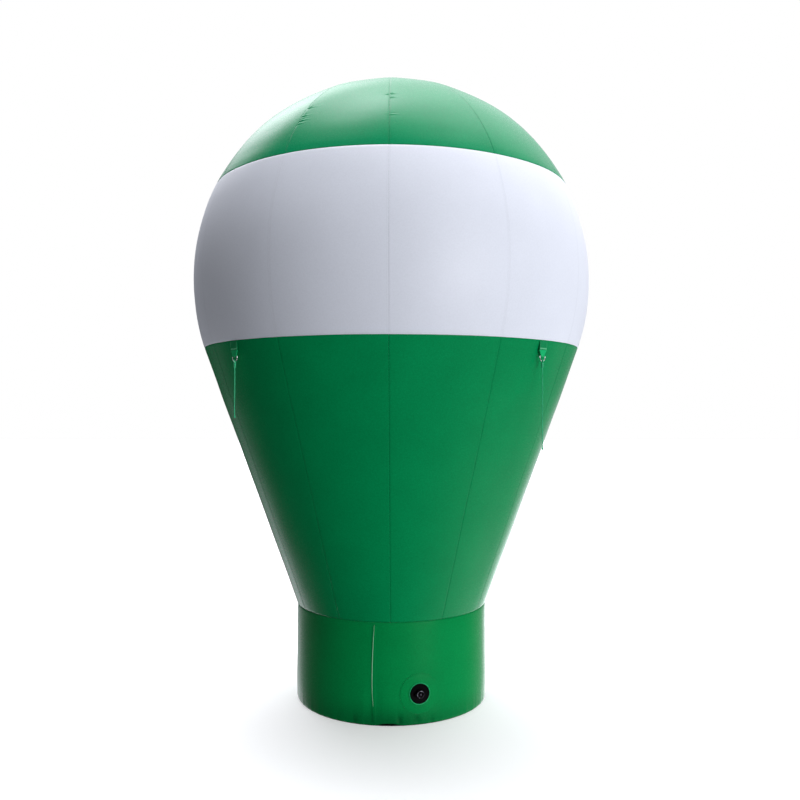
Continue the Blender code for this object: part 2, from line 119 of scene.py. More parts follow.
class Nodes:
    """A short way to build a node tree."""

    def __init__(self, tree):
        self.tree = tree
        tree.nodes.clear()

    def add(self, kind, inputs=None, **settings):
        node = self.tree.nodes.new(kind)
        for key, value in settings.items():
            setattr(node, key, value)
        for key, value in (inputs or {}).items():
            if isinstance(value, bpy.types.NodeSocket):
                self.tree.links.new(value, node.inputs[key])
            else:
                node.inputs[key].default_value = value
        return node

    def math(self, operation, a, b=0.0, clamp=False):
        return self.add("ShaderNodeMath", {0: a, 1: b}, operation=operation, use_clamp=clamp).outputs[0]

    def noise(self, where, scale, detail=2.0, roughness=0.5):
        return self.add("ShaderNodeTexNoise", {"Vector": where, "Scale": scale, "Detail": detail,
                                               "Roughness": roughness}).outputs["Fac"]

    def spread(self, value, low, high, to_low, to_high):
        return self.add("ShaderNodeMapRange", {"Value": value, "From Min": low, "From Max": high,
                                               "To Min": to_low, "To Max": to_high}).outputs[0]

    def tint(self, colour, factor):
        """A colour multiplied by a value."""
        return self.add("ShaderNodeVectorMath", {0: colour, 1: factor}, operation="MULTIPLY").outputs[0]


def new_material(name):
    made = bpy.data.materials.new(name)
    made.use_nodes = True
    return made, Nodes(made.node_tree)


# The scale of the cloth's texture: the weave's pitch, and a stitch's distance from the seam,
# width and pitch
WEAVE_PITCH = 0.0011
STITCH_FROM_SEAM = 0.0070
STITCH_HALF_WIDTH = 0.0006
STITCH_PITCH = 0.0045


def cloth_material(name, colour, roughness, grain=0.05, weave=0.00002, ior=1.4, drift=0.04,
                   seam_painted_shade=0.15, sheen=0.0):
    """Coated cloth: a fine weave, a mottled coat, painted shade along the seams, with a row of stitches on
    each side.
    """
    made, n = new_material(name)
    place = n.add("ShaderNodeTexCoord").outputs["Object"]
    cloth = n.add("ShaderNodeUVMap", uv_map="cloth").outputs[0]
    across = n.add("ShaderNodeSeparateXYZ", {0: cloth})
    seam = n.add("ShaderNodeAttribute", attribute_name="seam").outputs["Fac"]
    run = n.add("ShaderNodeAttribute", attribute_name="run").outputs["Fac"]
    tone = n.add("ShaderNodeAttribute", attribute_name="tone").outputs["Fac"]
    fine = n.noise(place, 260.0, 2.0, 0.5)
    mottle = n.noise(place, 125.0, 1.0, 0.5)
    broad = n.noise(place, 5.0, 2.0)
    light = n.math("ADD", n.spread(fine, 0.25, 0.75, 1 - grain, 1 + grain),
                   n.spread(broad, 0.3, 0.7, -drift, drift))
    light = n.math("MULTIPLY", light, n.spread(mottle, 0.3, 0.7, 1 - 1.3 * grain, 1 + 1.3 * grain))
    # The tone attribute darkens the colour: painted shade near the floor and in the dents
    light = n.math("MULTIPLY", light, n.math("ADD", tone, 1.0))
    # Painted shade in the seams' grooves: darker within 5 mm of a seam
    light = n.math("MULTIPLY", light, n.spread(seam, 0.0, 0.005, 1 - seam_painted_shade, 1.0))
    from_row = n.math("ABSOLUTE", n.math("SUBTRACT", seam, STITCH_FROM_SEAM))
    stitch_row = n.math("LESS_THAN", from_row, STITCH_HALF_WIDTH)
    dash = n.math("LESS_THAN", n.math("FRACT", n.math("DIVIDE", run, STITCH_PITCH)), 0.68)
    stitch = n.math("MULTIPLY", stitch_row, dash)
    light = n.math("MULTIPLY", light, n.spread(stitch, 0.0, 1.0, 1.0, 0.86))
    tint = n.tint(colour, light)
    warp = n.math("SINE", n.math("MULTIPLY", across.outputs[0], 2 * math.pi / WEAVE_PITCH))
    weft = n.math("SINE", n.math("MULTIPLY", across.outputs[1], 2 * math.pi / WEAVE_PITCH))
    height = n.math("ADD", n.math("MULTIPLY", n.math("MULTIPLY", warp, weft), weave),
                    n.math("MULTIPLY", fine, 0.00012))
    height = n.math("ADD", height, n.math("MULTIPLY", stitch, 0.0003))
    bump = n.add("ShaderNodeBump", {"Height": height, "Distance": 1.0, "Strength": 0.5})
    rough = n.spread(fine, 0.3, 0.7, roughness - 0.05, roughness + 0.05)
    shader = n.add("ShaderNodeBsdfPrincipled", {"Base Color": tint, "Roughness": rough,
                                                "Normal": bump.outputs[0]})
    shader.inputs["IOR"].default_value = ior
    shader.inputs["Sheen Weight"].default_value = sheen
    shader.inputs["Sheen Roughness"].default_value = 0.3
    n.add("ShaderNodeOutputMaterial", {"Surface": shader.outputs[0]})
    return made


def hard_material(name, colour, roughness, metallic=0.0, grain_scale=400.0, bump_height=0.00002,
                  spread=0.06, specular=0.5, glow=0.0, patchy=0.0):
    """Moulded plastic or metal, with a fine texture and uneven gloss."""
    made, n = new_material(name)
    place = n.add("ShaderNodeTexCoord").outputs["Object"]
    fine = n.noise(place, grain_scale, 3.0, 0.6)
    mottle_and_glints = n.noise(place, 90.0, 2.0)
    # The tone attribute adds painted highlights and painted shade to the colour, in patches set by the noise
    tone = n.add("ShaderNodeAttribute", attribute_name="tone").outputs["Fac"]
    kept = n.spread(mottle_and_glints, 0.44, 0.54, 1 - patchy, 1.0)
    light = n.math("ADD", n.spread(mottle_and_glints, 0.3, 0.7, 0.88, 1.12), n.math("MULTIPLY", tone, kept))
    tint = n.tint(colour, light)
    bump = n.add("ShaderNodeBump", {"Height": n.math("MULTIPLY", fine, bump_height), "Distance": 1.0})
    rough = n.spread(mottle_and_glints, 0.3, 0.7, roughness - spread, roughness + spread)
    shader = n.add("ShaderNodeBsdfPrincipled", {"Base Color": tint, "Roughness": rough,
                                                "Normal": bump.outputs[0]})
    shader.inputs["Metallic"].default_value = metallic
    shader.inputs["Emission Color"].default_value = (1, 1, 1, 1)
    shader.inputs["Emission Strength"].default_value = glow
    shader.inputs["Specular IOR Level"].default_value = specular
    n.add("ShaderNodeOutputMaterial", {"Surface": shader.outputs[0]})
    return made


GREEN = cloth_material("green_cloth", (0.0008, 0.256, 0.0764), 0.25, ior=1.135)
# The crown's copy of the green cloth is lighter and bluer than the cone's: painted light on the top of one
# cloth
CROWN_GREEN = cloth_material("green_crown_cloth", (0.0008, 0.270, 0.1000), 0.25, ior=1.15)
BASE_GREEN = cloth_material("green_base_cloth", (0.0004, 0.255, 0.0600), 0.25, ior=1.12, sheen=0.4)
WHITE = cloth_material("white_cloth", (0.808, 0.848, 0.912), 0.40, ior=1.4, grain=0.012, drift=0.010,
                       seam_painted_shade=0.04)
WEBBING = hard_material("green_webbing", (0.002, 0.235, 0.075), 0.62, specular=0.12)
LINE = hard_material("green_line", (0.050, 0.520, 0.240), 0.60, specular=0.15)
STEEL = hard_material("polished_steel", (0.78, 0.79, 0.80), 0.16, 1.0)
BLACK = hard_material("black_moulded", (0.0012, 0.0012, 0.0014), 0.42, specular=0.03, patchy=0.4)
FLOOR_CLOTH = hard_material("black_coated_cloth", (0.006, 0.006, 0.007), 0.55)


# Mesh helpers

def mesh_from(name, points, faces, material, attributes=None, uv=None, smooth=True):
    """A mesh object from arrays of points and faces, with point attributes and a cloth map."""
    mesh = bpy.data.meshes.new(name)
    mesh.from_pydata(np.asarray(points, float).tolist(), [], faces)
    for key, values in (attributes or {}).items():
        made = mesh.attributes.new(key, "FLOAT", "POINT")
        made.data.foreach_set("value", np.asarray(values, np.float32))
    if uv is not None:
        layer = mesh.uv_layers.new(name="cloth")
        corner = np.zeros(len(mesh.loops), np.int32)
        mesh.loops.foreach_get("vertex_index", corner)
        layer.data.foreach_set("uv", np.asarray(uv, np.float32)[corner].ravel())
    mesh.materials.append(material)
    if smooth:
        mesh.shade_smooth()
        mesh.set_sharp_from_angle(angle=math.radians(50))
    made = bpy.data.objects.new(name, mesh)
    bpy.context.scene.collection.objects.link(made)
    return made


def loop_faces(rows, columns, closed_rows=False):
    """Quads between rows of closed loops, with a cap on each end unless the rows close too."""
    faces = []
    for i in range(rows if closed_rows else rows - 1):
        low, high = i * columns, (i + 1) % rows * columns
        for j in range(columns):
            k = (j + 1) % columns
            faces.append((low + j, low + k, high + k, high + j))
    if not closed_rows:
        faces.append(tuple(range(columns))[::-1])
        faces.append(tuple((rows - 1) * columns + j for j in range(columns)))
    return faces


def tube(path, radius, sides=10, closed=False):
    """Points and faces of a round tube along a path; radius may be one for each point."""
    path = np.asarray(path, float)
    count = len(path)
    radii = np.broadcast_to(np.asarray(radius, float), count)
    if closed:
        along = np.roll(path, -1, 0) - np.roll(path, 1, 0)
    else:
        along = np.gradient(path, axis=0)
    along /= np.linalg.norm(along, axis=1)[:, None]
    side = np.cross(along[0], (0.0, 0.0, 1.0))
    if np.linalg.norm(side) < 0.2:
        side = np.cross(along[0], (0.0, 1.0, 0.0))
    sides_at = []
    for tangent in along:
        side = side - tangent * (side @ tangent)
        side /= np.linalg.norm(side)
        sides_at.append(side)
    sides_at = np.array(sides_at)
    ups = np.cross(along, sides_at)
    if closed:
        last = sides_at[-1] - along[0] * (sides_at[-1] @ along[0])
        slip = math.atan2(last @ ups[0], last @ sides_at[0])
        turn = -slip * np.arange(count) / count
        sides_at, ups = (sides_at * np.cos(turn)[:, None] + ups * np.sin(turn)[:, None],
                         ups * np.cos(turn)[:, None] - sides_at * np.sin(turn)[:, None])
    angle = np.arange(sides) * 2 * math.pi / sides
    points = (path[:, None] + radii[:, None, None]
              * (np.cos(angle)[None, :, None] * sides_at[:, None]
                 + np.sin(angle)[None, :, None] * ups[:, None]))
    return points.reshape(-1, 3), loop_faces(count, sides, closed)


def join_shapes(*shapes):
    """Several (points, faces) as one."""
    points, faces, n = [], [], 0
    for p, f in shapes:
        points.append(np.asarray(p, float))
        faces += [tuple(i + n for i in face) for face in f]
        n += len(p)
    return np.concatenate(points), faces


def moved(shape, matrix):
    points, faces = shape
    m = np.array(matrix)
    return points @ m[:3, :3].T + m[:3, 3], faces


def turned(section, steps=64):
    """A full turn about Z of a (radius, height) section that starts and ends on the axis."""
    angle = np.arange(steps) * 2 * math.pi / steps
    rings = [np.stack([r * np.cos(angle), r * np.sin(angle), np.full(steps, z)], 1)
             for r, z in section[1:-1]]
    points = np.concatenate([*rings, [[0, 0, section[0][1]], [0, 0, section[-1][1]]]])
    faces = []
    n = len(rings)
    for i in range(n - 1):
        for j in range(steps):
            k = (j + 1) % steps
            faces.append((i * steps + j, i * steps + k, (i + 1) * steps + k, (i + 1) * steps + j))
    for j in range(steps):
        k = (j + 1) % steps
        faces.append((n * steps, k, j))
        faces.append(((n - 1) * steps + j, (n - 1) * steps + k, n * steps + 1))
    return points, faces


# Lines, with a stopper knot at the end of each

UPRIGHT = Matrix.Rotation(math.pi / 2, 4, "X")


def line_points(length):
    """The hanging line's centreline, in its anchor's frame."""
    points = []
    for i in range(LINE_POINTS):
        share = i / (LINE_POINTS - 1)
        points.append((LINE_SWAY * math.sin(2 * math.pi * share) * share, 0.0, LINE_TOP_Z - length * share))
    return np.array(points)


def resampled(path, step):
    path = np.asarray(path, float)
    run = np.concatenate([[0], np.cumsum(np.linalg.norm(np.diff(path, axis=0), axis=1))])
    at = np.linspace(0, run[-1], max(2, int(round(run[-1] / step)) + 1))
    return np.stack([np.interp(at, run, path[:, i]) for i in range(3)], 1), at


def stranded(path, radius, pitch=0.017, strands=3, step=0.0016):
    """A laid rope: strands twisted round a centreline that runs mostly along Z."""
    centre, run = resampled(path, step)
    strand = radius * 0.56
    shapes = []
    for k in range(strands):
        phase = 2 * math.pi * (run / pitch + k / strands)
        offset = (radius - strand) * np.stack([np.cos(phase), np.sin(phase), np.zeros(len(run))], 1)
        shapes.append(tube(centre + offset, strand, 8))
    return join_shapes(*shapes)


def trefoil(size, radius, centre):
    """A small overhand knot, drawn tight."""
    t = np.linspace(0, 2 * math.pi, 90, endpoint=False)
    path = np.stack([np.sin(t) + 2 * np.sin(2 * t), np.cos(t) - 2 * np.cos(2 * t), -1.35 * np.sin(3 * t)], 1)
    path *= size / 3.0
    return moved(tube(path, radius, 8, True), Matrix.Translation(centre) @ UPRIGHT)


for corner, degrees, end_z in CORNERS:
    stand = corner_frame(degrees)
    length = BAR_Z + LINE_TOP_Z - end_z
    route = line_points(length)
    line = mesh_from("rope_" + corner, *moved(stranded(route, LINE_RADIUS), stand), LINE)
    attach(line, "anchor_" + corner)
    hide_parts("line_" + corner)
    end = route[-1] + (0, 0, 0.002)
    stopper = mesh_from("rope_end_" + corner, *moved(trefoil(0.0046, 0.0019, end), stand), LINE)
    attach(stopper, "anchor_" + corner)

# Envelope

rng = np.random.default_rng(7)
WAVES = 9
wave_vector = rng.normal(size=(WAVES, 3))
wave_vector *= (2 * math.pi / rng.uniform(0.28, 0.80, WAVES) / np.linalg.norm(wave_vector, axis=1))[:, None]
wave_phase = rng.uniform(0, 2 * math.pi, WAVES)


def undulation(points):
    """A soft unevenness of the taut cloth, the same on both sides of every seam."""
    return np.sin(points @ wave_vector.T + wave_phase).sum(-1) * (0.0011 / math.sqrt(WAVES))


def graded(length, step, fine=(0.0, 0.0015, 0.003, 0.005, 0.008, 0.012, 0.017)):
    """Stations from 0 to length, close together at both ends."""
    inner = length - 2 * fine[-1]
    middle = np.linspace(fine[-1], length - fine[-1], int(round(inner / step)) + 1)
    return np.concatenate([fine[:-1], middle, [length - f for f in reversed(fine[:-1])]])


# How far the cloth stands off the nominal shape, by height
STAND_OFF_Z = (0.0, 0.534, 1.70, 2.00, 2.25, 2.70, 2.90, 3.10, 3.30, 3.50)
STAND_OFF = (0.0012, 0.0020, 0.0044, 0.0005, -0.0030, -0.0025, 0.0005, -0.0010, -0.0015, -0.0040)

# How much the cloth is pulled flat between two seams, as a share of the gore's width, by height
FLAT_Z = (0.534, 0.80, 1.80, 1.978, 2.863, 2.95, 3.05, 3.50)
FLAT = (0.0, 0.005, 0.005, 0.0, 0.0, 0.009, 0.014, 0.014)

# Seam shapes: depth and width of the dip at a gore's sides, and depth of the slack beside it
SIDE_DIPS = {
    "crown": (0.0013, 0.0060, 0.0006),
    "band": (0.0004, 0.0045, 0.0),
    "cone": (0.0009, 0.0060, 0.0004),
}
END_DIP_WIDTH = 0.008

# Columns of a gore's cloth, close together beside the seams, as shares of its width, and those
# that its plain back keeps
HALF_WIDTH = 0.29
side_stations = np.array([0, .0015, .003, .005, .008, .012, .017, .024, .034, .048, .068, .095, .13,
                          .175, .23, .29]) / HALF_WIDTH / 2
ACROSS = np.concatenate([side_stations, 1 - side_stations[-2::-1]])
BACK_COLUMNS = [0, 5, 10, 15, 20, 25, -1]


def dome_profile(low_angle, high_angle, step):
    """(run, radius, height, normal) along the dome between two angles."""
    angles = np.linspace(low_angle, high_angle, 2000)
    r, z = DOME_RADIUS * np.cos(angles), DOME_CENTRE_Z + DOME_RISE * np.sin(angles)
    run = np.concatenate([[0], np.cumsum(np.hypot(np.diff(r), np.diff(z)))])
    at = graded(run[-1], step)
    angle = np.interp(at, run, angles)
    normal = np.stack([np.cos(angle) / DOME_RADIUS, np.sin(angle) / DOME_RISE], 1)
    normal /= np.linalg.norm(normal, axis=1)[:, None]
    return at, DOME_RADIUS * np.cos(angle), DOME_CENTRE_Z + DOME_RISE * np.sin(angle), normal


def cone_profile(low_z, high_z, step):
    at = graded((high_z - low_z) / math.cos(CONE_ANGLE), step)
    z = low_z + at * math.cos(CONE_ANGLE)
    r = TANGENT_RADIUS + (z - TANGENT_Z) * CONE_SLOPE
    return at, r, z, np.tile([math.cos(CONE_ANGLE), -math.sin(CONE_ANGLE)], (len(at), 1))


def angle_at(z):
    return math.asin((z - DOME_CENTRE_Z) / DOME_RISE)


CROWN_TOP_ANGLE = math.acos((CROWN_CAP_RADIUS + GAP) / DOME_RADIUS)
ROWS = {
    "crown": (dome_profile(angle_at(BAND_HIGH_Z + GAP / 2), CROWN_TOP_ANGLE, 0.0040),
              CROWN_GREEN, "crown_gore"),
    "band": (dome_profile(angle_at(BAND_LOW_Z + GAP / 2), angle_at(BAND_HIGH_Z - GAP / 2), 0.0075),
             WHITE, "band_panel"),
    "cone": (cone_profile(BASE_TOP_Z + GAP / 2, BAND_LOW_Z - GAP / 2, 0.0085),
             GREEN, "cone_gore"),
}

# Folds that run out from a seam: row, seam, height, side (1 is towards growing azimuth), reach, depth
FOLDS = [
    ("crown", 11, 3.034, 1, 0.028, 0.0022), ("crown", 11, 3.054, 1, 0.032, 0.0030),
    ("crown", 11, 3.086, 1, 0.030, 0.0030), ("crown", 11, 3.142, 1, 0.036, 0.0030),
    ("crown", 0, 3.196, 1, 0.026, 0.0034), ("crown", 0, 3.163, 1, 0.024, 0.0030),
    ("crown", 0, 3.190, -1, 0.028, 0.0028), ("crown", 0, 3.040, 1, 0.024, 0.0024),
    ("crown", 0, 3.046, -1, 0.020, 0.0008),
]
for k in range(GORES):
    for row, low, high, most in (("crown", 2.90, 3.40, 7), ("band", 2.02, 2.82, 3), ("cone", 0.62, 1.92, 5)):
        for _ in range(rng.integers(1, most)):
            height = rng.uniform(low, high)
            side = rng.choice([-1, 1])
            reach = rng.uniform(0.018, 0.045)
            depth = rng.uniform(0.0003, 0.0009) * (1.5 if row == "crown" else 1.0)
            if k not in (0, 1, 11):
                FOLDS.append((row, k, height, side, reach, depth))
FOLD_WIDTH = 0.0052


def dip(distance, depth, width):
    return -depth * (1 - np.clip(distance / width, 0, 1)) ** 1.6


def gore(row, k):
    """One gore as a closed slab: its outer cloth dips to the seams all round, and turns in there."""
    (run, r, z, normal), material, node = ROWS[row]
    start = k * GORE_ANGLE
    inset = GAP / 2 / r
    azimuth = start + inset[:, None] + (GORE_ANGLE - 2 * inset[:, None]) * ACROSS[None, :]
    width = r * GORE_ANGLE
    left, right = width[:, None] * ACROSS[None, :], width[:, None] * (1 - ACROSS[None, :])
    upper = run > run[-1] / 2
    level = np.minimum(run, run[-1] - run)[:, None] * np.ones_like(left)
    if row == "crown":
        # No seam shows at the gores' upper ends, which the crown cap covers
        level[upper] += 1.0
    side = np.minimum(left, right)
    depth, reach, slack = SIDE_DIPS[row]
    high_depth = 0.0014
    low_depth = 0.0025 if row == "cone" else 0.0014
    rim = np.where(upper[:, None], dip(level, high_depth, END_DIP_WIDTH),
                   dip(level, low_depth, END_DIP_WIDTH))
    flat = np.interp(z, FLAT_Z, FLAT)[:, None] * width[:, None] * (0.28 - np.sin(math.pi * ACROSS)[None, :])
    offset = (np.interp(z, STAND_OFF_Z, STAND_OFF)[:, None] + dip(side, depth, reach) + rim
              - slack * np.exp(-side / 0.045) + flat)
    for name, seam, height, hand, reach, depth in FOLDS:
        if name != row or (seam if hand == 1 else (seam - 1) % GORES) != k:
            continue
        distance = left if hand == 1 else right
        at = np.interp(height, z, run)
        lean = run[:, None] - at - 0.16 * distance
        shape = (np.exp(-(lean / FOLD_WIDTH) ** 2)
                 - 0.6 * np.exp(-((lean - 1.7 * FOLD_WIDTH) / FOLD_WIDTH) ** 2)
                 - 0.5 * np.exp(-((lean + 1.7 * FOLD_WIDTH) / FOLD_WIDTH) ** 2))
        offset += depth * shape * (1 - np.exp(-distance / 0.004)) * np.exp(-(distance / reach) ** 2)

    def place(azimuth, offset):
        out = r[:, None] + offset * normal[:, :1]
        height = z[:, None] + offset * normal[:, 1:] + 0 * azimuth
        return np.stack([np.sin(azimuth) * out, -np.cos(azimuth) * out, height], -1)

    surface = place(azimuth, offset)
    offset = offset + undulation(surface)
    surface = place(azimuth, offset)
    back = place(azimuth[:, ::-1][:, BACK_COLUMNS], -SHELL)
    grid = np.concatenate([surface, back], 1)
    rows, columns = grid.shape[:2]
    plain = np.zeros((rows, len(BACK_COLUMNS)))
    seam = np.concatenate([np.minimum(side, level), plain + 0.1], 1)
    along = np.where(side < level, run[:, None], azimuth * r[:, None])
    along = np.concatenate([along, plain], 1)
    u = np.concatenate([left - width[:, None] / 2, plain], 1)
    v = np.repeat(run[:, None], columns, 1)
    made = mesh_from(f"{node}_{k + 1:02d}_cloth", grid.reshape(-1, 3), loop_faces(rows, columns), material,
                     {"seam": seam.ravel(), "run": along.ravel()},
                     np.stack([u.ravel(), v.ravel()], 1))
    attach(made, "envelope")
    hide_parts(f"{node}_{k + 1:02d}")


for row in ROWS:
    for k in range(GORES):
        gore(row, k)

# Crown cap, a disc sewn over the ends of the gores
DISC_RADIUS = 0.098
DOME_TOP_Z = DOME_CENTRE_Z + DOME_RISE
disc_angle = math.acos(DISC_RADIUS / DOME_RADIUS)
cap_section = [(0.0, DOME_TOP_Z - 0.0013)]
for i in range(1, 24):
    a = math.pi / 2 + (disc_angle - math.pi / 2) * i / 23
    lift = -0.0035 + 0.0022 * (1 - max(0.0, (i - 19) / 4) ** 2 * 0.6)
    cap_section.append(((DOME_RADIUS + lift) * math.cos(a), DOME_CENTRE_Z + (DOME_RISE + lift) * math.sin(a)))
edge_r, edge_z = cap_section[-1]
cap_section += [(edge_r + 0.0003, edge_z - 0.0012), (edge_r - 0.001, edge_z - 0.0030),
                (0.0, DOME_TOP_Z - SHELL)]
points, faces = turned(cap_section[::-1], 72)
from_edge = np.abs(DISC_RADIUS - np.hypot(points[:, 0], points[:, 1]))
round_edge = np.arctan2(points[:, 1], points[:, 0]) * DISC_RADIUS
crown_cap = mesh_from("crown_cap_cloth", points, faces, CROWN_GREEN,
                      {"seam": from_edge + 0.001, "run": round_edge}, points[:, :2])
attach(crown_cap, "envelope")
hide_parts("crown_cap")

# Base wall
BASE_COLUMNS = 480
BACK_ROWS = 7
HEM_Z = FLOOR_SHEET + GAP
rows_z = HEM_Z + graded(BASE_TOP_Z - GAP / 2 - HEM_Z, 0.009)
around = np.arange(BASE_COLUMNS) * 2 * math.pi / BASE_COLUMNS + 0.002

# Dents above the hem: azimuth and width in degrees, height and depth
DENTS = (
    (5.0, 1.3, 0.034, 0.0060),
    (15.0, 1.6, 0.040, 0.0075),
    (23.5, 1.1, 0.024, 0.0040),
    (-21.0, 2.2, 0.022, 0.0035),
)
HEM_LIFT_AZIMUTH = math.radians(-1.0)
A, Z = np.meshgrid(around, rows_z)
top = BASE_TOP_Z - GAP / 2 - Z
foot = Z - HEM_Z
wrinkle = sum(np.sin(A * f + p) for f, p in ((61, 0.4), (97, 2.1), (39, 1.0))) / 3
offset = (0.0012 + dip(top, 0.0025, 0.008) - 0.0020 * np.exp(-foot / 0.004)
          + 0.0018 * np.exp(-((foot - 0.10) / 0.10) ** 2) + 0.0012 * wrinkle * np.exp(-foot / 0.045)
          - 0.0008 * np.exp(-top / 0.05))
for a, width, z, depth in DENTS:
    turn = turn_from(A, math.radians(a))
    offset -= depth * np.exp(-(turn / math.radians(width)) ** 2 - ((Z - z) / 0.028) ** 2)
lift = 0.010 * np.exp(-(turn_from(A, HEM_LIFT_AZIMUTH) / math.radians(5.5)) ** 4)
Zs = Z + lift * np.exp(-foot / 0.03)
cylinder = np.stack([np.sin(A) * BASE_RADIUS, -np.cos(A) * BASE_RADIUS, Z], -1)
offset = offset + undulation(cylinder) * smooth_step(top / 0.1)

# The wall lies plain under the valve's patch, and no higher than that under the lap seam
valve_distance = np.hypot(turn_from(A, VALVE_AZIMUTH) * BASE_RADIUS, Z - VALVE_Z)
offset = offset * smooth_step((valve_distance - 0.108) / 0.06)
lap_distance = np.abs(turn_from(A, LAP_AZIMUTH)) * BASE_RADIUS
clear_of_lap = smooth_step((lap_distance - 0.016) / 0.04)
lowered = offset * clear_of_lap + np.minimum(offset, 0) * (1 - clear_of_lap)
offset = np.where(Z > 0.015, lowered, offset)
out = BASE_RADIUS + offset
outer = np.stack([np.sin(A) * out, -np.cos(A) * out, Zs], -1)
back_z = np.linspace(rows_z[-1], rows_z[0], BACK_ROWS)
plain = np.zeros((BACK_ROWS, BASE_COLUMNS))
inner = np.stack([plain + np.sin(around) * (BASE_RADIUS - SHELL),
                  plain - np.cos(around) * (BASE_RADIUS - SHELL),
                  plain + back_z[:, None]], -1)
inner[-1, :, 2] = Zs[0]
grid = np.concatenate([outer, inner], 0).transpose(1, 0, 2)
seam = np.concatenate([np.minimum(top, foot + 0.004), plain + 0.1], 0).T


def painted_foot_shade(height, azimuth):
    """Painted shade: the cloth gets darker towards the floor, most of all in front."""
    turn = turn_from(azimuth, 0.0)
    return -0.52 * np.exp(-(height / 0.085) ** 2) * (0.35 + 0.65 * np.exp(-(turn / 0.62) ** 2))


# Painted shade towards the floor
tone = painted_foot_shade(foot, A)
# Painted shade in the dents, darker where they are deeper
for a, width, z, depth in DENTS:
    turn = turn_from(A, math.radians(a))
    tone -= 20 * depth * np.exp(-(turn / math.radians(width)) ** 2 - ((Z - z) / 0.022) ** 2)
tone = np.concatenate([tone, plain], 0).T
along = np.concatenate([A * BASE_RADIUS, plain], 0).T
up = np.concatenate([Z, plain], 0).T
base_wall = mesh_from("base_wall_cloth", grid.reshape(-1, 3),
                      loop_faces(BASE_COLUMNS, grid.shape[1], True), BASE_GREEN,
                      {"seam": seam.ravel(), "run": along.ravel(), "tone": tone.ravel()},
                      np.stack([along.ravel(), up.ravel()], 1))
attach(base_wall, "envelope")
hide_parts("base_wall")

# The valve's frame on the wall, with Z outward, and its hole through the wall
VALVE_OUT = direction(VALVE_AZIMUTH)
VALVE_SIDE = Vector((math.cos(VALVE_AZIMUTH), math.sin(VALVE_AZIMUTH), 0.0))
VALVE = Matrix((
    (VALVE_SIDE.x, 0, VALVE_OUT.x, VALVE_OUT.x * FACET_PLANE),
    (VALVE_SIDE.y, 0, VALVE_OUT.y, VALVE_OUT.y * FACET_PLANE),
    (0, 1, 0, VALVE_Z),
    (0, 0, 0, 1),
))
NECK_RADIUS = 0.021
NECK_TOP = 0.014
HOLE = NECK_RADIUS + GAP
drill = turned([(0, -0.05), (HOLE, -0.05), (HOLE, 0.05), (0, 0.05)])
cutter = mesh_from("valve_hole", *moved(drill, VALVE), BASE_GREEN)
hole = base_wall.modifiers.new("hole", "BOOLEAN")
hole.operation = "DIFFERENCE"
hole.object = cutter
graph = bpy.context.evaluated_depsgraph_get()
pierced = bpy.data.meshes.new_from_object(base_wall.evaluated_get(graph))
base_wall.modifiers.clear()
base_wall.data = pierced
bpy.data.objects.remove(cutter)


def round_profile(section, steps=96):
    """A full turn about Z of a closed (radius, height) section that keeps off the axis."""
    angle = np.arange(steps) * 2 * math.pi / steps
    r, z = np.array(section).T
    points = np.stack([np.cos(angle)[:, None] * r, np.sin(angle)[:, None] * r,
                       np.broadcast_to(z, (steps, len(r)))], -1)
    return points.reshape(-1, 3), loop_faces(steps, len(section), True)


def on_wall(shape, azimuth=VALVE_AZIMUTH, height=VALVE_Z):
    """Bend a shape drawn flat (x along the wall, y up, z out) round the base wall."""
    points, faces = shape
    a = azimuth + points[:, 0] / BASE_RADIUS
    out = BASE_RADIUS + points[:, 2]
    return np.stack([np.sin(a) * out, -np.cos(a) * out, height + points[:, 1]], 1), faces


def rounded(corners, radius, steps=4):
    """A closed (r, z) outline with its corners rounded."""
    made = []
    corners = [Vector(c) for c in corners]
    for i, corner in enumerate(corners):
        before, after = corners[i - 1] - corner, corners[(i + 1) % len(corners)] - corner
        reach = min(radius, before.length * 0.49, after.length * 0.49)
        start, end = corner + before.normalized() * reach, corner + after.normalized() * reach
        for j in range(steps + 1):
            t = j / steps
            made.append(tuple((1 - t) ** 2 * start + 2 * t * (1 - t) * corner + t ** 2 * end))
    return made


PATCH_RADIUS = 0.105
FLANGE_RADIUS = 0.052
patch_section = rounded([(HOLE, 0.0002), (PATCH_RADIUS, 0.0002), (PATCH_RADIUS, 0.0018), (HOLE, 0.0018)],
                        0.0008)
points, faces = round_profile(patch_section, 160)
edge = np.abs(PATCH_RADIUS - np.hypot(points[:, 0], points[:, 1]))
spun = np.arctan2(points[:, 1], points[:, 0]) * PATCH_RADIUS
# Painted shade low on the patch, a little over half as strong as on the wall
patch_painted_shade = 0.55 * painted_foot_shade(VALVE_Z + points[:, 1], VALVE_AZIMUTH + points[:, 0] / BASE_RADIUS)
patch = mesh_from("valve_patch_cloth", *on_wall((points, faces)), BASE_GREEN,
                  {"seam": edge + 0.002, "run": spun, "tone": patch_painted_shade}, points[:, :2])
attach(patch, "envelope")
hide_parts("valve_patch")

# The lap seam's raised lip is painted a pale green: a painted highlight along it
LIP_PAINTED_HIGHLIGHT = hard_material("weld_painted_highlight", (0.260, 0.600, 0.350), 0.40, specular=0.25)
# The bead is a lighter green than the wall: a painted highlight round the flange
WELD = hard_material("green_weld", (0.008, 0.420, 0.140), 0.40, specular=0.15)
bead_angle = np.arange(12) * 2 * math.pi / 12
bead_section = [(0.0550 + 0.0024 * math.cos(a), 0.0030 + 0.0018 * math.sin(a)) for a in bead_angle]
bead = mesh_from("valve_bead", *on_wall(round_profile(bead_section, 128)), WELD)
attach(bead, "envelope")

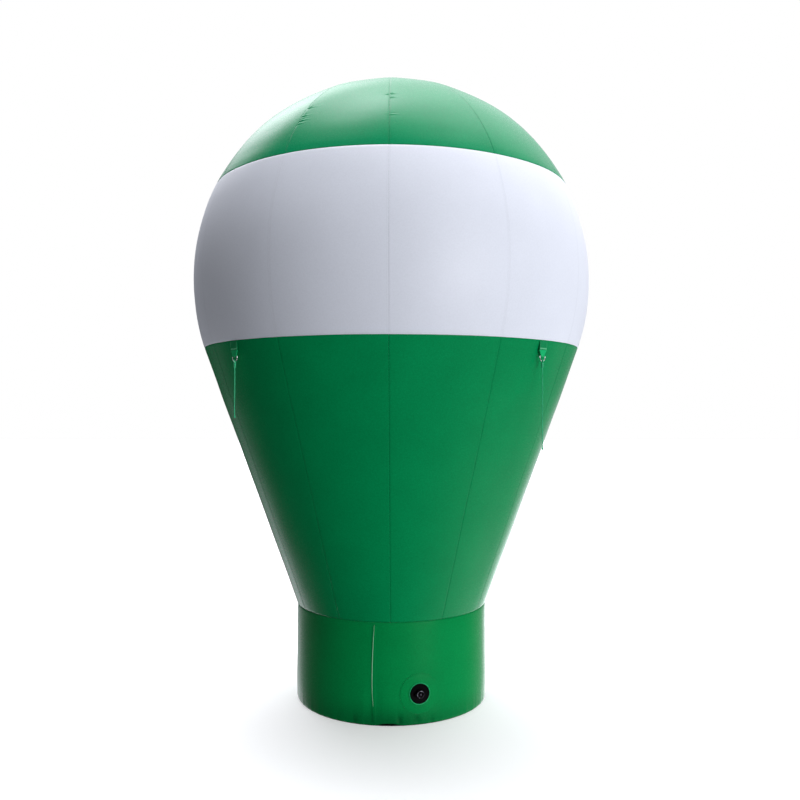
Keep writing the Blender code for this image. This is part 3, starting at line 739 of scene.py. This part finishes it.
# Valve body: flange with a raised rim, neck, hinge ears with their pin, and the sprung stem inside
flange = on_wall(round_profile(rounded([(HOLE, 0.0020), (FLANGE_RADIUS, 0.0020), (FLANGE_RADIUS, 0.0048),
                                        (FLANGE_RADIUS - 0.004, 0.0062), (FLANGE_RADIUS - 0.008, 0.0048),
                                        (HOLE, 0.0048)], 0.0009), 128))
neck = round_profile(rounded([(0.017, -0.0155), (NECK_RADIUS, -0.0155), (NECK_RADIUS, NECK_TOP),
                              (0.017, NECK_TOP)], 0.0008), 96)
collar = round_profile(rounded([(NECK_RADIUS - 0.001, 0.002), (0.0245, 0.002), (0.0215, 0.0085),
                                (NECK_RADIUS - 0.001, 0.0085)], 0.0008), 96)
well = turned([(0, -0.0155), (0.0175, -0.0155), (0.0175, -0.0120), (0.004, -0.0120), (0.004, -0.0080),
               (0.003, -0.0075), (0, -0.0075)], 64)
HINGE_X = -0.027
HINGE_Z = NECK_TOP + GAP + 0.002
ON_HINGE = Matrix.Translation((HINGE_X, 0, HINGE_Z)) @ UPRIGHT
EAR_RADIUS = 0.0035


def plate(outline, low, high, bevel=0.0005):
    """An outline in x and z, pushed through y, with its long edges rounded off."""
    outline = np.array(outline)
    centre = outline.mean(0)
    rings = []
    for y, shrink in ((low, bevel), (low + bevel, 0.0), (high - bevel, 0.0), (high, bevel)):
        drawn = outline + (centre - outline) / np.linalg.norm(centre - outline, axis=1)[:, None] * shrink
        rings.append(np.stack([drawn[:, 0], np.full(len(drawn), y), drawn[:, 1]], 1))
    return np.concatenate(rings), loop_faces(4, len(outline))


def arc_points(radius, count, centre, start, sweep):
    return [(centre[0] + radius * math.cos(start + sweep * i / (count - 1)),
             centre[1] + radius * math.sin(start + sweep * i / (count - 1))) for i in range(count)]


ear_outline = arc_points(EAR_RADIUS, 17, (HINGE_X, HINGE_Z), 0.0, math.pi)
ear_outline += [(HINGE_X - EAR_RADIUS, 0.003), (HINGE_X + EAR_RADIUS, 0.003)]
ears = [plate(ear_outline, low, high) for low, high in ((0.0055, 0.0085), (-0.0085, -0.0055))]
pin = moved(turned([(0, -0.0090), (0.0012, -0.0090), (0.0014, -0.0087), (0.0014, 0.0087),
                    (0.0012, 0.0090), (0, 0.0090)], 24), ON_HINGE)
body_shape = join_shapes(flange, *[moved(s, VALVE) for s in (neck, collar, well, *ears, pin)])
valve_body = mesh_from("valve_body_moulding", *body_shape, BLACK)
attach(valve_body, "envelope")
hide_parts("valve_body")

# Cap, with a ribbed grip ring, a nub and its knuckle on the pin
RIBS = 48
cap_low, cap_high = HINGE_Z - 0.002, HINGE_Z + 0.002
grip_high = cap_high + 0.003
section = [(0.0, cap_low), (0.0213, cap_low), (0.0220, cap_low + 0.0007), (0.0220, cap_high - 0.0008),
           (0.0213, cap_high), (0.0203, cap_high + 0.0002), (0.0199, cap_high + 0.0006),
           (0.0194, grip_high - 0.0006), (0.0188, grip_high), (0.0164, grip_high),
           (0.0158, grip_high - 0.0006), (0.0152, cap_high + 0.0006), (0.0146, cap_high), (0.0050, cap_high),
           (0.0042, cap_high + 0.0003), (0.0038, cap_high + 0.0010), (0.0031, cap_high + 0.0029),
           (0.0024, cap_high + 0.0035), (0.0, cap_high + 0.0035)]
cap_shape = turned(section, 4 * RIBS)
ribbed = cap_shape[0]
radius = np.hypot(ribbed[:, 0], ribbed[:, 1])
on_rib = (ribbed[:, 2] > cap_high + 0.0004) & (radius > 0.0185)
wave = np.cos(np.arctan2(ribbed[:, 1], ribbed[:, 0]) * RIBS)
ribbed[on_rib, :2] *= (1 - 0.0005 * (0.5 - 0.5 * wave[on_rib]) / radius[on_rib])[:, None]
knuckle = moved(round_profile([(0.0017, -0.005), (0.0028, -0.005), (0.0032, -0.0046), (0.0032, 0.0046),
                               (0.0028, 0.005), (0.0017, 0.005)], 32), ON_HINGE)
tongue = plate([(HINGE_X + 0.0026, HINGE_Z - 0.0014), (-0.0205, HINGE_Z - 0.0014),
                (-0.0205, HINGE_Z + 0.0014), (HINGE_X + 0.0026, HINGE_Z + 0.0014)], -0.0048, 0.0048, 0.0004)

# Arcs of the grip painted pale grey as painted highlights: middle and width in degrees, and strength
PAINTED_GLINT_ARCS = ((72, 24, 1.0), (176, 26, 1.0), (246, 9, 0.6))
cap_turn = np.degrees(np.arctan2(ribbed[:, 1], ribbed[:, 0])) % 360
painted_glint = np.full(len(ribbed), 0.10)
for middle, width, strength in PAINTED_GLINT_ARCS:
    painted_glint += strength * np.exp(-((cap_turn - middle) / width) ** 2)
on_grip = (radius > 0.0160) & (ribbed[:, 2] > grip_high - 0.0007)
on_nub = (radius < 0.0032) & (ribbed[:, 2] > cap_high + 0.0025)
# Painted highlights: the grip ring paler all round and most on the arcs, the nub pale grey
painted_glint = np.where(on_grip, 300 * painted_glint, np.where(on_nub, 170.0, 0.0))
mottle_and_glints = np.concatenate([painted_glint, np.zeros(len(knuckle[0]) + len(tongue[0]))])
cap_pieces = [moved(s, VALVE) for s in (cap_shape, knuckle, tongue)]
valve_cap = mesh_from("valve_cap_moulding", *join_shapes(*cap_pieces), BLACK, {"tone": mottle_and_glints})
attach(valve_cap, "cap")
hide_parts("valve_cap")

# Lap seam that closes the base wall: a welded strip that bows a little, with a raised edge painted pale as a
# painted highlight
LAP_ROWS = 80
LAP_SECTION = np.array([
    (-0.010, 0.0003), (0.010, 0.0003), (0.0106, 0.0010), (0.0102, 0.0016), (0.0092, 0.0018),
    (0.0082, 0.0018), (0.0060, 0.0018), (-0.0090, 0.0016), (-0.0102, 0.0010),
])
lap_share = np.linspace(0, 1, LAP_ROWS)
lap_z = 0.020 + (0.515 - 0.020) * lap_share
bow = -0.005 * np.sin(math.pi * lap_share) + 0.004
plain = np.zeros((LAP_ROWS, len(LAP_SECTION)))
lap = np.stack([bow[:, None] + LAP_SECTION[:, 0], plain + (lap_z[:, None] - VALVE_Z),
                plain + LAP_SECTION[:, 1]], -1).reshape(-1, 3)
lap_shape = on_wall((lap, loop_faces(*plain.shape)), LAP_AZIMUTH)
# Painted shade low on the strip, as on the wall
lap_painted_shade = painted_foot_shade(np.repeat(lap_z, len(LAP_SECTION)) - HEM_Z, LAP_AZIMUTH)
lap_seam = mesh_from("base_lap_weld", *lap_shape, BASE_GREEN,
                     {"seam": np.full(len(lap), 0.02), "run": lap[:, 1], "tone": lap_painted_shade}, lap[:, :2])
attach(lap_seam, "envelope")
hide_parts("base_lap_seam")

LIP_POINTS = 70
lip_z = np.linspace(0.100, 0.522, LIP_POINTS)
lip_share = (lip_z - lip_z[0]) / (lip_z[-1] - lip_z[0])
lip_x = -0.0068 + np.where(lip_z > 0.22, 0.135, 0.45) * (lip_z - 0.22) ** 2
lip_path = np.stack([lip_x, lip_z - VALVE_Z, np.full(LIP_POINTS, 0.0018)], 1)
lip_radius = 0.0022 * np.sin(math.pi * (lip_share * 0.96 + 0.02)) ** 0.5
lip = mesh_from("base_lap_lip", *on_wall(tube(lip_path, lip_radius, 10), LAP_AZIMUTH), LIP_PAINTED_HIGHLIGHT)
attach(lip, "envelope")

# Webbing, rings and knots

def strip(path, half_widths, half_thickness):
    """Webbing that follows a path of (outward, height) points; its width runs along x."""
    path = np.asarray(path, float)
    tangent = np.gradient(path, axis=0)
    tangent /= np.linalg.norm(tangent, axis=1)[:, None]
    normal = np.stack([tangent[:, 1], -tangent[:, 0]], 1)
    edge = [(1.0, -0.45), (1.0, 0.45), (0.985, 0.85), (0.955, 1.0)]
    face = [(x, 1.0) for x in np.linspace(0.955, -0.955, 13)[1:-1]]
    half = edge + face
    section = np.array(half + [(-x, -n) for x, n in half])
    rows = len(path)
    across = section[None, :, 0] * np.asarray(half_widths)[:, None]
    through = np.broadcast_to(section[None, :, 1] * half_thickness, (rows, len(section)))
    where = path[:, None] + normal[:, None] * through[..., None]
    points = np.stack([across, -where[..., 0], where[..., 1]], -1).reshape(-1, 3)
    run = np.concatenate([[0], np.cumsum(np.linalg.norm(np.diff(path, axis=0), axis=1))])
    uv = np.stack([across.ravel(), np.repeat(run, len(section))], 1)
    return points, loop_faces(rows, len(section)), uv


def stitch(start, end, radius):
    """One short thread between two points, sunk at both ends."""
    start, end = np.asarray(start, float), np.asarray(end, float)
    path = start + (end - start) * np.linspace(0, 1, 5)[:, None]
    return tube(path, radius * np.array([0.35, 0.85, 1.0, 0.85, 0.35]), 6)


WEB_HALF_THICKNESS = 0.00095
WEB_HALF_WIDTH = 0.0300
EYE_HALF_WIDTH = 0.0165
EYE_MIDDLE = 0.0040
STRAP_TOP = (0.0075, 0.0705)
BAR_LOW = 0.030
# The threads are a pale green, paler than the webbing: a painted highlight on the stitched bar
THREAD = hard_material("green_thread", (0.110, 0.560, 0.270), 0.55)


def webbing_path():
    """Down the outer side from the band's seam, round the ring's bar, and up the inner side."""
    top = np.array(STRAP_TOP)
    lean = math.atan2(top[1], top[0])
    side = np.array((math.sin(lean), -math.cos(lean))) * (WEB_HALF_THICKNESS + 0.0001)
    opening = 0.55
    loop = [(EYE_MIDDLE * math.cos(a), EYE_MIDDLE * math.sin(a))
            for a in np.linspace(lean - opening, lean + opening - 2 * math.pi, 29)]
    along = top / np.linalg.norm(top)
    outer = [top * (1 - s) + along * 0.013 * s + side for s in np.linspace(0, 1, 16)]
    inner = [top * (1 - s) + along * 0.013 * s - side for s in np.linspace(1, 0, 16)]
    tuck = [np.array((0.0035, 0.0775)), np.array((0.0066, 0.0745))]
    return np.array([tuck[0] + side, tuck[1] + side, *outer, *loop, *inner, tuck[1] - side, tuck[0] - side])


def web_half_width(height):
    """60 mm down to the stitched bar, then drawn in to the eye."""
    share = smooth_step((height - EYE_MIDDLE) / (BAR_LOW - EYE_MIDDLE))
    return EYE_HALF_WIDTH + (WEB_HALF_WIDTH - EYE_HALF_WIDTH) * share


def ring_path():
    """The D-ring's centreline, with the middle of its straight bar at the origin."""
    half_width, corner_radius = 0.0215, 0.004
    flat = half_width - corner_radius
    outline = (arc_points(half_width, 48, (0.0, -(RING_DEPTH - half_width)), math.pi, math.pi)
               + arc_points(corner_radius, 9, (flat, -corner_radius), 0.0, math.pi / 2)
               + [(x, 0.0) for x in np.linspace(flat, -flat, 12)[1:-1]]
               + arc_points(corner_radius, 9, (-flat, -corner_radius), math.pi / 2, math.pi / 2))
    return np.array([(x, 0.0, z) for x, z in outline])


def knot_shape():
    """The line's loop round the ring's bow, and the turns that bind it below."""
    loop_angle = np.linspace(-math.pi * 0.42, math.pi * 1.42, 40)
    loop = [(0.0, 0.0054 * math.cos(a), -RING_DEPTH + 0.0054 * math.sin(a)) for a in loop_angle]
    cord = 0.0024
    legs = []
    for start in (loop[0], loop[-1]):
        out = start[1]
        leg = [start, (0.0, out * 0.7, -0.0345), (0.0, out * 0.5, -0.041), (0.0, out * 0.4, -0.058),
               (0.0, 0.0, -0.0612)]
        legs.append(tube(leg, cord, 10))
    turns = 4.2
    t = np.linspace(0, 1, 150)
    wound = 2 * math.pi * turns * t
    swell = 0.0048 + 0.0006 * np.sin(math.pi * t)
    helix = np.stack([swell * np.cos(wound + 0.6), 0.86 * swell * np.sin(wound + 0.6),
                      -0.0345 - 0.0215 * t + 0.0012 * np.cos(wound)], 1)
    return join_shapes(tube(loop, cord, 10), *legs, tube(helix, cord, 10))


web_path = webbing_path()
web_points, web_faces, web_uv = strip(web_path, web_half_width(web_path[:, 1]), WEB_HALF_THICKNESS)
face_point = np.array(STRAP_TOP) / np.linalg.norm(STRAP_TOP)
face_side = np.array((face_point[1], -face_point[0])) * (2 * WEB_HALF_THICKNESS + 0.0002)


def on_web(x, height):
    """A point on the outer face of the webbing."""
    o, z = face_point * (height / face_point[1]) + face_side
    return (x, -o, z)


# Painted paler below the stitched bar, where the webbing is folded double round the ring, with a thin band of
# painted shadow just under the bar
web_height = web_points[:, 2]
web_pale_eye_and_shadow = np.where(web_height < BAR_LOW, 0.9, np.where(web_height < BAR_LOW + 0.0025, -0.5, 0.0))
threads = []
BAR_STITCHES = 34
for row_height in (0.0335, 0.0360, 0.0385):
    for i in range(BAR_STITCHES):
        x = -0.0272 + 0.0544 * i / (BAR_STITCHES - 1)
        low_end = on_web(x - 0.0007, row_height - 0.0013)
        high_end = on_web(x + 0.0007, row_height + 0.0013)
        threads.append(stitch(low_end, high_end, 0.0007))
for x in (-0.0262, 0.0262):
    for i in range(9):
        height = 0.0410 + 0.0032 * i
        threads.append(stitch(on_web(x, height), on_web(x, height + 0.0022), 0.00045))
thread_shape = join_shapes(*threads)
ring_shape = tube(ring_path(), 0.0025, 16, True)
knot = knot_shape()
for corner, degrees, _ in CORNERS:
    stand = corner_frame(degrees)
    web = mesh_from("webbing_" + corner, *moved((web_points, web_faces), stand), WEBBING,
                    {"tone": web_pale_eye_and_shadow}, web_uv)
    threads = mesh_from("stitching_" + corner, *moved(thread_shape, stand), THREAD)
    ring = mesh_from("steel_ring_" + corner, *moved(ring_shape, stand), STEEL)
    tied = mesh_from("hitch_" + corner, *moved(knot, stand), LINE)
    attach(web, "envelope")
    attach(threads, "envelope")
    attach(ring, "anchor_" + corner)
    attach(tied, "anchor_" + corner)
    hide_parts("strap_" + corner)
    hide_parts("ring_" + corner)
    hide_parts("knot_" + corner)

floor_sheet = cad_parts["floor_sheet"].data
floor_sheet.materials.clear()
floor_sheet.materials.append(FLOOR_CLOTH)

# Stage: a pale floor under soft studio light
PALE_FLOOR = hard_material("pale_floor", (0.62, 0.62, 0.62), 0.8, spread=0.0, glow=0.42)
floor = mesh_from("stage_floor", [(-40, -40, 0), (40, -40, 0), (40, 40, 0), (-40, 40, 0)], [(0, 1, 2, 3)],
                  PALE_FLOOR, smooth=False)
floor.visible_diffuse = False
floor.visible_glossy = False
floor.visible_shadow = False

# Lights of the surroundings: azimuth from the front towards +X and elevation in degrees,
# sharpness, radiance
LIGHTS = (
    (94, 50, 1.5, 0.20),
    (-161, 51, 14.0, 2.5),
    (87, -51, 14.0, 2.6),
    (-149, 75, 40.0, 12.2),
    (39, 2, 40.0, 9.4),
    (126, 68, 14.0, 5.6),
    (-153, 39, 40.0, 3.9),
    (147, -35, 40.0, 4.0),
    (-140, -43, 40.0, 6.8),
    (-106, 15, 40.0, 0.7),
    (154, 33, 14.0, 1.2),
    (115, -39, 40.0, 2.2),
    (-148, -28, 40.0, 2.4),
    (172, -18, 40.0, 3.6),
    (160, -18, 40.0, 1.4),
    (125, -12, 40.0, 0.6),
    (-127, -12, 40.0, 0.3),
    (12, 0, 5.0, 0.22),
    (-30, 45, 14.0, 0.6),
    (30, 25, 5.0, 0.34),
    (65, -15, 14.0, 0.20),
    (35, -25, 5.0, 0.20),
)
world = bpy.data.worlds.new("studio")
bpy.context.scene.world = world
world.use_nodes = True
w = Nodes(world.node_tree)
toward = w.add("ShaderNodeTexCoord").outputs["Generated"]
total = 0.0
for azimuth, elevation, sharpness, radiance in LIGHTS:
    a, e = math.radians(azimuth), math.radians(elevation)
    axis = (math.sin(a) * math.cos(e), -math.cos(a) * math.cos(e), math.sin(e))
    facing = w.add("ShaderNodeVectorMath", {0: toward, 1: axis}, operation="DOT_PRODUCT").outputs["Value"]
    lobe = w.math("POWER", w.math("MAXIMUM", facing, 0.0), sharpness)
    total = w.math("ADD", w.math("MULTIPLY", lobe, radiance), total)
seen = w.add("ShaderNodeLightPath").outputs["Is Camera Ray"]
lamp = w.add("ShaderNodeBackground", {"Color": (1, 1, 1.06, 1), "Strength": total})
plain = w.add("ShaderNodeBackground", {"Color": (1, 1, 1, 1), "Strength": 1.0})
mixed = w.add("ShaderNodeMixShader", {0: seen, 1: lamp.outputs[0], 2: plain.outputs[0]})
w.add("ShaderNodeOutputWorld", {"Surface": mixed.outputs[0]})
